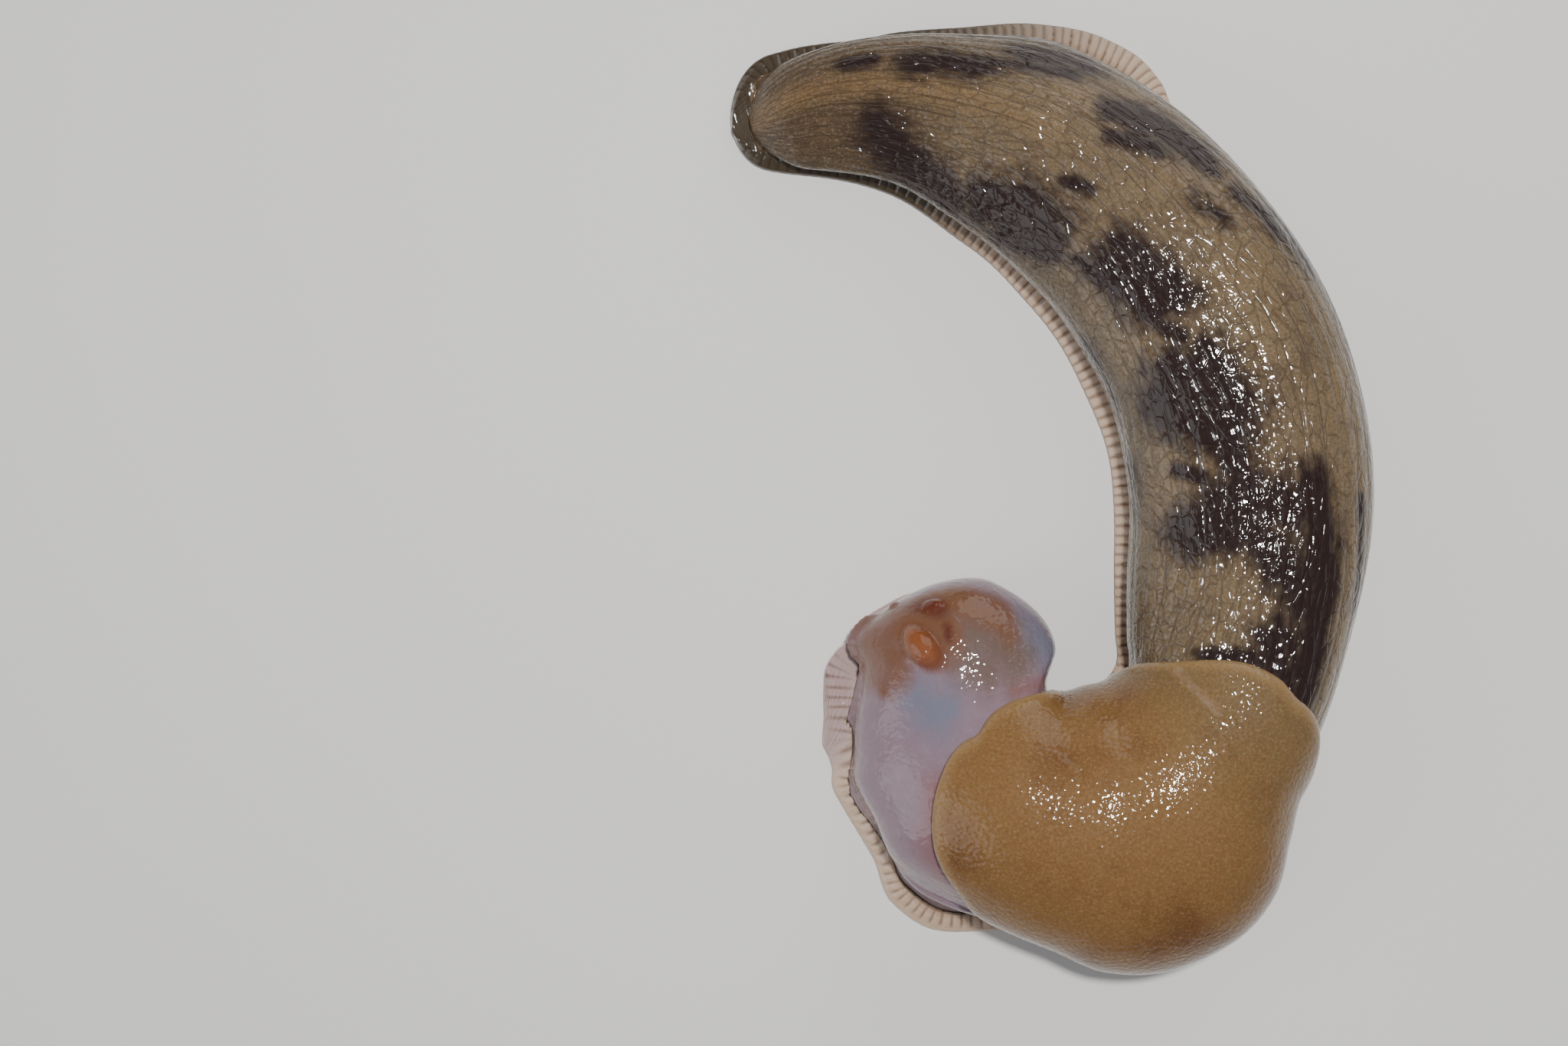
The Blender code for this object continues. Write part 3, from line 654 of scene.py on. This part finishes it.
def make_foot_mesh():
    """The foot: a flat sole, a ribbed fringe all round and a top that the body hides."""
    marks = even_marks(foot_margins, FOOT_END_STEP, LENGTH - FOOT_END_STEP, FOOT_SPACING)
    left, right, groove_left, groove_right, cove = foot_grooves(marks)
    fringes = [fringe_side(marks, left, groove_left, cove, 1),
               fringe_side(marks, right, groove_right, 0.0, -1)]
    top = [foot_place(marks, np.where(share > 0, groove_left, groove_right) * share, FOOT_TOP - 0.1)
           for share in (0.5, 0.0, -0.5)]
    sole = [foot_place(marks, np.where(share > 0, left, right) * share, 0.0)
            for share in (-0.75, -0.4, 0.0, 0.4, 0.75)]
    grid = np.stack(fringes[0][0] + top + fringes[1][0] + sole, axis=1)
    rows, count = grid.shape[:2]
    width = len(fringes[0][0])
    start = width + len(top)
    values = {key: np.zeros((rows, count)) for key in ("rib", "inward", "ribbed", "fringe")}
    values["along"] = marks[:, None] + np.zeros((rows, count))
    values["fringe"][:, :start + width] = 1
    inward = np.concatenate([np.zeros(width - len(FRINGE_SHARES)), FRINGE_SHARES])
    for first, shares, (_, phases, bold) in zip((0, start), (inward, inward[::-1]), fringes):
        values["rib"][:, first:first + width] = phases
        values["inward"][:, first:first + width] = shares
        values["ribbed"][:, first:] = bold[:, None]
    faces = tube_faces(rows, count, width + len(top) // 2)
    return new_mesh("foot", grid.reshape(-1, 3), faces, values)


def cap_faces(rings, sectors):
    """Faces of a closed cushion: a middle point, rings out and back, and a middle point."""
    faces = []
    for i in range(rings - 1):
        for j in range(sectors):
            k = (j + 1) % sectors
            a, b = 1 + i * sectors, 1 + (i + 1) * sectors
            faces.append((a + j, a + k, b + k, b + j))
    last = 1 + (rings - 1) * sectors
    for j in range(sectors):
        k = (j + 1) % sectors
        faces.append((0, 1 + k, 1 + j))
        faces.append((last + sectors, last + j, last + k))
    return faces


def cushion_mesh(spots, lifts, values):
    """The mantle as a cushion on the skin, from the places and heights of its rings."""
    along, side = spots
    normal = sum(skin_frame(along + step, side)[1] for step in (-NORMAL_REACH, 0, NORMAL_REACH))
    normal /= np.linalg.norm(normal, axis=-1, keepdims=True)
    points = body_skin(along, side) + normal * lifts[..., None]
    middle_low = points[0].mean(axis=0, keepdims=True)
    middle_top = points[-1].mean(axis=0, keepdims=True)
    flat = np.concatenate([middle_low, points.reshape(-1, 3), middle_top])
    stored = {}
    for key, numbers in values.items():
        ends = numbers[0].mean(), numbers[-1].mean()
        stored[key] = np.concatenate([[ends[0]], numbers.ravel(), [ends[1]]])
    return new_mesh("mantle", flat, cap_faces(*along.shape), stored, 1)


def mantle_spots(share, angle):
    """Places on the skin, by their share of the way out to the mantle's margin."""
    reach = share * mantle_outline(np.degrees(angle) % 360)
    notch = (np.degrees(angle) % 360 - NOTCH_ANGLE) / NOTCH_WIDTH
    reach = reach * (1 - NOTCH_DEPTH * np.exp(-notch ** 2) * smooth(share, 0.8, 1.0))
    along = MANTLE_CENTRE[0] + MANTLE_HALF[0] * reach * np.cos(angle)
    return along, MANTLE_CENTRE[1] + MANTLE_HALF[1] * reach * np.sin(angle)


def make_mantle_mesh():
    """The mantle's rings, from its hidden underside round its rim and over its top."""
    angle = np.linspace(0, 2 * math.pi, MANTLE_SECTORS, endpoint=False)[None, :]
    under = np.linspace(0.1, 1 - 0.4 * MANTLE_ROLL, 6)
    swing = np.radians(np.linspace(-55, 90, 14))
    rim = 1 - MANTLE_ROLL + MANTLE_ROLL * np.cos(swing)
    top = np.linspace(1 - MANTLE_ROLL, 0.006, MANTLE_RINGS)[1:]
    share = np.concatenate([under, rim, top])[:, None]
    half = MANTLE_LIFT / 2
    lift = np.concatenate([np.full(len(under), -MANTLE_SINK), half + half * np.sin(swing),
                           np.full(len(top), MANTLE_LIFT)])[:, None]
    lift = lift + MANTLE_RISE * (1 - share ** 2) * (lift > -MANTLE_SINK)
    along, side = mantle_spots(share, angle)
    relief, pale = mantle_relief(along, side)
    lift = lift + relief * (lift > 0) * smooth(1 - share, 0.0, 0.08)
    # low grows towards the mantle's left side, which its colour darkens as painted shade.
    values = {"along": along, "edge": share + 0 * along, "low": smooth(side, 0.0, 1.1),
              "pale": pale}
    return cushion_mesh((along, side), lift, values)


def distance_to(points, start, end):
    """Distances in millimetres from points to the straight line between two others."""
    run = end - start
    share = np.clip((points - start) @ run / (run @ run), 0, 1)
    return np.linalg.norm(points - start - share[..., None] * run, axis=-1)


def mantle_relief(along, side):
    """The pore's crease, the wart, wrinkles and dents, and how far inside pale skin it is."""
    skin = body_skin(along, side)
    start, end = (body_skin(*np.array(spot)[:, None])[0] for spot in PORE)
    far = distance_to(skin, start, end)
    relief = 0.1 * np.exp(-((far - 0.75) / 0.5) ** 2) - 0.3 * np.exp(-(far / 0.4) ** 2)
    wart = np.linalg.norm(skin - body_skin(*np.array(WART)[:, None])[0], axis=-1)
    relief += 0.4 * np.exp(-(wart / 0.55) ** 2)
    for wrinkle in WRINKLES:
        start, end = (body_skin(*np.array(spot)[:, None])[0] for spot in wrinkle)
        relief -= 0.16 * np.exp(-(distance_to(skin, start, end) / 0.4) ** 2)
    relief += 0.22 * ripple(along * 1.3, skin[..., 0], 5.0)
    lips = 1 - far / 0.75
    return relief, np.maximum(lips, 1 - wart / 0.55)


def unite(meshes, materials):
    """One closed skin from the closed meshes, with the numbers stored on them."""
    scene = bpy.context.scene
    group = bpy.data.collections.new("parts_of_skin")
    scene.collection.children.link(group)
    objects = []
    for mesh in meshes:
        for material in materials:
            mesh.materials.append(material)
        for key in STORED:
            if key not in mesh.attributes:
                layer = mesh.attributes.new(key, "FLOAT", "POINT").data
                layer.foreach_set("value", [FAR if key in FIELDS else 0.0] * len(layer))
        objects.append(bpy.data.objects.new(mesh.name, mesh))
    skin = objects[0]
    scene.collection.objects.link(skin)
    for other in objects[1:]:
        group.objects.link(other)
    modifier = skin.modifiers.new("unite", "BOOLEAN")
    modifier.operation = "UNION"
    modifier.operand_type = "COLLECTION"
    modifier.collection = group
    modifier.solver = "MANIFOLD"
    depsgraph = bpy.context.evaluated_depsgraph_get()
    whole = bpy.data.meshes.new_from_object(skin.evaluated_get(depsgraph))
    for spare in objects:
        bpy.data.objects.remove(spare, do_unlink=True)
    bpy.data.collections.remove(group)
    whole.name = "slug_skin"
    whole.shade_smooth()
    whole.set_sharp_from_angle(angle=math.radians(60))
    obj = bpy.data.objects.new("slug_skin", whole)
    scene.collection.objects.link(obj)
    return obj


class Shader:
    """Short calls that build one material's nodes and join them up."""

    def __init__(self, name):
        self.material = bpy.data.materials.new(name)
        self.material.use_nodes = True
        self.tree = self.material.node_tree
        self.surface = self.tree.nodes["Principled BSDF"]

    def put(self, socket, value):
        """Joins a socket to another, or sets its own value."""
        if isinstance(value, bpy.types.NodeSocket):
            self.tree.links.new(value, socket)
        elif isinstance(value, tuple) and len(value) == 3 and socket.type == "RGBA":
            socket.default_value = (*value, 1)
        else:
            socket.default_value = value

    def node(self, kind, sockets=None, **settings):
        made = self.tree.nodes.new("ShaderNode" + kind)
        for key, value in settings.items():
            setattr(made, key, value)
        for key, value in (sockets or {}).items():
            self.put(made.inputs[key], value)
        return made

    def set(self, **sockets):
        for key, value in sockets.items():
            self.put(self.surface.inputs[key.replace("_", " ")], value)

    def stored(self, key):
        return self.node("Attribute", attribute_name=key).outputs["Fac"]

    def math(self, operation, a, b=0.0, clamp=False):
        return self.node("Math", {0: a, 1: b}, operation=operation, use_clamp=clamp).outputs[0]

    def plus(self, a, b):
        return self.math("ADD", a, b)

    def minus(self, a, b):
        return self.math("SUBTRACT", a, b)

    def times(self, a, b):
        return self.math("MULTIPLY", a, b)

    def vector(self, x, y):
        return self.node("CombineXYZ", {"X": x, "Y": y}).outputs[0]

    def spot(self):
        """The place on the object, in metres."""
        return self.node("TexCoord").outputs["Object"]

    def step(self, value, low, high):
        """An even S from 0 at low to 1 at high."""
        made = self.node("MapRange", {"Value": value, "From Min": low, "From Max": high},
                         interpolation_type="SMOOTHSTEP")
        return made.outputs[0]

    def noise(self, vector, scale, detail=3.0, roughness=0.55):
        made = self.node("TexNoise", {"Vector": vector, "Scale": scale, "Detail": detail,
                                      "Roughness": roughness})
        return made.outputs[0]

    def cells(self, vector, scale, feature="DISTANCE_TO_EDGE", randomness=1.0):
        made = self.node("TexVoronoi", {"Vector": vector, "Scale": scale,
                                        "Randomness": randomness}, feature=feature)
        return made.outputs["Distance"]

    def uneven(self, noise, size):
        """Noise spread evenly round 0."""
        return self.times(self.minus(noise, 0.5), size)

    def off_centre(self, value):
        """0 on whole numbers and 0.5 midway between them."""
        return self.math("ABSOLUTE", self.minus(value, self.math("ROUND", value)))

    def mix(self, share, a, b):
        """Two colours mixed, by the sockets that the node keeps for colours."""
        return self.node("Mix", {0: share, 6: a, 7: b}, data_type="RGBA").outputs[2]

    def tint(self, colour, tone, share, strength):
        """A colour turned towards a tone by the share times the strength."""
        return self.mix(self.times(share, strength), colour, tone)

    def bump(self, height, distance):
        return self.node("Bump", {"Height": height, "Distance": distance}).outputs[0]


BACK = (0.155, 0.106, 0.056)
# the flanks' darker olive: painted shade down the sides, also the tone of the skin's own mottles
FLANK_SHADE_AND_MOTTLE = (0.082, 0.062, 0.038)
TAIL = (0.07, 0.043, 0.02)
LINE_BROWN = (0.026, 0.013, 0.009)
# a painted highlight along the keel near the tail
CREST_HIGHLIGHT = (0.19, 0.115, 0.05)
SPECK = (0.26, 0.2, 0.13)
BLOTCH = (0.014, 0.0048, 0.004)
NECK = (0.2, 0.138, 0.168)
NECK_PALE = (0.33, 0.25, 0.28)
NECK_BLUE = (0.135, 0.14, 0.19)
NECK_OLIVE = (0.1, 0.065, 0.036)
NECK_ROSE = (0.2, 0.085, 0.085)
FACE = (0.14, 0.062, 0.03)
FRINGE = (0.48, 0.35, 0.255)
FRINGE_FRONT = (0.33, 0.24, 0.25)
FRINGE_TAIL = (0.05, 0.036, 0.02)
RIB_BROWN = (0.12, 0.055, 0.026)
RED = (0.075, 0.012, 0.006)
BUD = (0.19, 0.055, 0.012)
BUD_RIM = (0.135, 0.04, 0.013)
MANTLE = (0.17, 0.088, 0.029)
MANTLE_PALE = (0.27, 0.17, 0.075)
MANTLE_OLIVE = (0.135, 0.092, 0.04)
PORE_PINK = (0.4, 0.24, 0.17)
# the mantle's own darker patches and grain, and its painted shade on the low side
MANTLE_DARK = (0.1, 0.038, 0.009)


def make_skin_material():
    s = Shader("slug_skin")
    along = s.stored("along")
    line = s.stored("line")
    streaks = s.vector(s.times(along, 0.2), line)
    bare = s.step(along, 131.0, 138.0)
    soft = s.math("MAXIMUM", bare, s.stored("fringe"))
    lines = s.times(skin_lines(s, along, line, streaks), s.minus(1.0, soft))
    height = skin_height(s, along, line, bare, soft, lines)
    s.set(Base_Color=skin_colour(s, along, bare, lines, streaks), Roughness=0.5,
          Specular_IOR_Level=0.06, Normal=s.bump(height, 0.00017),
          Coat_Weight=1.0, Coat_Roughness=0.05, Coat_IOR=1.42,
          Coat_Normal=s.bump(height, 0.00012), Subsurface_Weight=0.3,
          Subsurface_Radius=(1.0, 0.5, 0.3), Subsurface_Scale=0.001)
    return s.material


def skin_colour(s, along, bare, lines, streaks):
    """The back, the neck and the fringe, with the tentacles and red spots over them."""
    mottle = s.noise(s.spot(), 120.0, 4.0)
    colour = back_colour(s, along, mottle, lines, streaks)
    colour = s.mix(bare, colour, neck_colour(s, mottle))
    colour = s.mix(s.stored("fringe"), colour, fringe_colour(s, along))
    bud = s.stored("bud")
    upper = s.times(s.step(along, 160.4, 159.4), 0.9)
    dome = s.mix(s.step(bud, 0.0, 0.5), BUD_RIM, BUD)
    colour = s.tint(colour, dome, s.step(bud, -0.35, 0.2), upper)
    return s.tint(colour, RED, s.step(s.stored("red"), -0.6, 0.9), 0.85)


def skin_height(s, along, line, bare, soft, lines):
    """Pebbles with sunk lines on the back, and softer, grained flesh on the neck and foot."""
    pebbles = s.cells(s.vector(s.times(along, 1.1), s.times(line, 3.6)), 1.0, "SMOOTH_F1")
    waves = s.noise(s.vector(s.times(along, 0.5), s.times(line, 1.2)), 1.0)
    flesh = s.times(s.noise(s.spot(), 1300.0, 1.5), s.times(bare, 0.9))
    height = s.times(lines, -0.6)
    height = s.plus(height, s.times(pebbles, s.minus(s.times(soft, 0.75), 0.95)))
    height = s.plus(height, s.times(waves, 0.5))
    height = s.plus(height, flesh)
    return s.plus(height, s.times(s.noise(s.spot(), 900.0), 0.3))


def skin_lines(s, along, line, streaks):
    """The long grooves of the back, the oblique ones that join them and the fine ones."""
    wander = s.uneven(s.noise(streaks, 1.3), 0.1)
    main = s.step(s.plus(s.off_centre(line), wander), 0.41, 0.5)
    main = s.times(main, s.step(s.noise(streaks, 0.6, 2.0), 0.25, 0.6))
    wide_cells = s.vector(s.times(along, 0.38), s.times(line, 1.9))
    net = s.step(s.cells(wide_cells, 1.0, randomness=0.85), 0.1, 0.0)
    fine = s.plus(s.off_centre(s.times(line, 3.0)), s.times(wander, 3.0))
    lines = s.math("MAXIMUM", s.times(main, 0.8), s.times(net, 0.6))
    return s.math("MAXIMUM", lines, s.times(s.step(fine, 0.3, 0.5), 0.15))


def back_colour(s, along, mottle, lines, streaks):
    """Olive tan with brown grooves and dark, streaky blotches, rustier on the tail, darker down the
    flanks as painted shade and lighter along the keel near the tail as a painted highlight.
    """
    # Darker down the flanks: painted shade. The mottles tinted with the same colour are the skin's
    # own uneven tone.
    colour = s.mix(s.stored("low"), BACK, FLANK_SHADE_AND_MOTTLE)
    colour = s.tint(colour, FLANK_SHADE_AND_MOTTLE, s.step(mottle, 0.35, 0.7), 0.5)
    colour = s.tint(colour, TAIL, s.step(along, 34.0, 12.0), 0.85)
    # A painted highlight lightens the keel near the tail.
    keel = s.step(s.math("ABSOLUTE", s.stored("arc")), 2.6, 0.4)
    colour = s.tint(colour, CREST_HIGHLIGHT, s.times(keel, s.step(along, 50.0, 20.0)), 0.6)
    grain = s.noise(s.spot(), 3200.0, 2.0)
    colour = s.tint(colour, SPECK, s.step(grain, 0.5, 0.75), 0.4)
    colour = s.tint(colour, LINE_BROWN, s.step(grain, 0.5, 0.25), 0.4)
    colour = s.tint(colour, LINE_BROWN, lines, 0.62)
    ragged = s.uneven(s.noise(streaks, 1.6, 4.0), 1.5)
    specks = s.uneven(s.noise(s.spot(), 600.0), 0.7)
    field = s.plus(s.stored("blotch"), s.plus(ragged, specks))
    colour = s.tint(colour, BLOTCH, s.step(field, -0.7, 0.3), 0.45)
    return s.tint(colour, BLOTCH, s.step(field, -0.25, 0.7), 0.97)


def neck_colour(s, mottle):
    """Mauve flesh with blue and olive depths, rose beside the mantle, orange on the face."""
    ragged = s.uneven(s.noise(s.spot(), 420.0, 4.0), 0.9)
    veins = s.uneven(s.noise(s.spot(), 700.0, 5.0, 0.7), 1.8)
    colour = s.tint(NECK, NECK_PALE, s.step(veins, -0.1, 0.7), 0.35)
    colour = s.tint(colour, NECK_ROSE, s.step(s.stored("rose"), -0.8, 0.9), 0.8)
    for key, strength, tone in (("blue", 0.9, NECK_BLUE), ("olive", 0.75, NECK_OLIVE)):
        field = s.plus(s.stored(key), veins)
        colour = s.tint(colour, tone, s.step(field, -0.9, 0.9), strength)
    face = s.step(s.plus(s.stored("face"), ragged), -0.35, 0.55)
    return s.tint(colour, FACE, face, s.math("ADD", mottle, 0.35, True))


def fringe_colour(s, along):
    """Cream with a brown line between each two ribs, dark olive round the tail."""
    inward = s.stored("inward")
    tail = s.step(along, 46.0, 22.0)
    reach = s.math("MAXIMUM", s.step(inward, 0.02, 0.4), s.step(along, 138.0, 125.0))
    cut = s.times(s.step(s.off_centre(s.stored("rib")), 0.22, 0.5), reach)
    plain = s.times(s.step(inward, 0.5, 0.9), s.step(along, 138.0, 146.0))
    cut = s.times(cut, s.math("SUBTRACT", s.stored("ribbed"), plain, True))
    colour = s.mix(tail, FRINGE, FRINGE_TAIL)
    colour = s.tint(colour, FRINGE_FRONT, s.step(along, 150.0, 160.0), 0.75)
    brown = s.mix(tail, RIB_BROWN, LINE_BROWN)
    # Painted shade darkens the inner fringe beside the body wall, fading out towards the head.
    shade = s.times(s.step(inward, 0.6, 1.0), s.step(along, 150.0, 138.0))
    colour = s.tint(colour, brown, shade, 0.3)
    return s.tint(colour, brown, cut, 0.6)


def make_mantle_material():
    s = Shader("mantle_skin")
    spot = s.spot()
    along = s.stored("along")
    low = s.stored("low")
    grain = s.noise(spot, 3200.0, 2.0)
    # Darker in cloudy patches, the mantle's own tone, and towards its low side as painted shade.
    shade = s.plus(s.step(s.noise(spot, 110.0, 4.0), 0.42, 0.75), s.times(low, 0.4))
    colour = s.mix(s.math("MULTIPLY", shade, 0.8, True), MANTLE, MANTLE_DARK)
    rear = s.times(s.step(along, 126.0, 110.0), s.step(low, 0.9, 0.0))
    colour = s.tint(colour, MANTLE_OLIVE, rear, 0.75)
    colour = s.tint(colour, MANTLE_PALE, s.step(s.stored("edge"), 0.9, 0.985), 0.6)
    colour = s.tint(colour, MANTLE_PALE, s.step(grain, 0.48, 0.72), 0.35)
    colour = s.tint(colour, MANTLE_DARK, s.step(grain, 0.5, 0.25), 0.35)
    pale = s.plus(s.stored("pale"), s.uneven(s.noise(spot, 900.0), 1.6))
    colour = s.tint(colour, PORE_PINK, s.step(pale, 0.0, 1.3), 0.3)
    granules = s.cells(spot, 1900.0, "SMOOTH_F1")
    bump = s.bump(s.plus(s.times(granules, -0.9), s.times(grain, 0.15)), 0.0001)
    s.set(Base_Color=colour, Roughness=0.5, Specular_IOR_Level=0.08, Normal=bump,
          Coat_Weight=0.85, Coat_Roughness=0.05, Coat_IOR=1.4, Coat_Normal=bump,
          Subsurface_Weight=0.35, Subsurface_Radius=(1.2, 0.5, 0.15), Subsurface_Scale=0.0012)
    return s.material


def make_floor():
    corners = [(x * FLOOR_HALF, y * FLOOR_HALF, -FLOOR_DROP)
               for x, y in ((-1, -1), (1, -1), (1, 1), (-1, 1))]
    mesh = bpy.data.meshes.new("floor")
    mesh.from_pydata(corners, [], [(0, 1, 2, 3)])
    floor = bpy.data.objects.new("floor", mesh)
    bpy.context.scene.collection.objects.link(floor)
    s = Shader("floor_paint")
    s.set(Base_Color=s.mix(s.noise(s.spot(), 8.0, 2.0), *FLOOR_TONES), Roughness=0.7)
    mesh.materials.append(s.material)


def make_lights():
    for name, spot, size, power, colour in LIGHTS:
        light = bpy.data.lights.new(name, "AREA")
        light.shape = "DISK"
        light.size = size * MM
        light.energy = power
        light.color = colour
        obj = bpy.data.objects.new(name, light)
        obj.location = Vector(spot) * MM
        aim = Vector(LIGHT_AIM) - Vector(spot)
        obj.rotation_euler = aim.to_track_quat("-Z", "Y").to_euler()
        bpy.context.scene.collection.objects.link(obj)
    world = bpy.data.worlds.new("studio")
    world.use_nodes = True
    air = world.node_tree.nodes["Background"].inputs
    air["Color"].default_value = AIR_COLOUR
    air["Strength"].default_value = AIR_STRENGTH
    bpy.context.scene.world = world


def make_camera():
    data = bpy.data.cameras.new("camera")
    data.sensor_width = SENSOR
    data.sensor_fit = "HORIZONTAL"
    data.lens = SENSOR * (CAMERA_SPOT[2] - VIEW_LEVEL) / VIEW_WIDTH
    data.clip_start = 0.01
    data.clip_end = 20.0
    camera = bpy.data.objects.new("camera", data)
    camera.location = Vector(CAMERA_SPOT) * MM
    bpy.context.scene.collection.objects.link(camera)
    bpy.context.scene.camera = camera


def make_slug():
    meshes = [make_body_mesh(), make_foot_mesh(), make_mantle_mesh()]
    skin = unite(meshes, [make_skin_material(), make_mantle_material()])
    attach(skin, "root")
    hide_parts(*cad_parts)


make_camera()
make_floor()
make_lights()
make_slug()
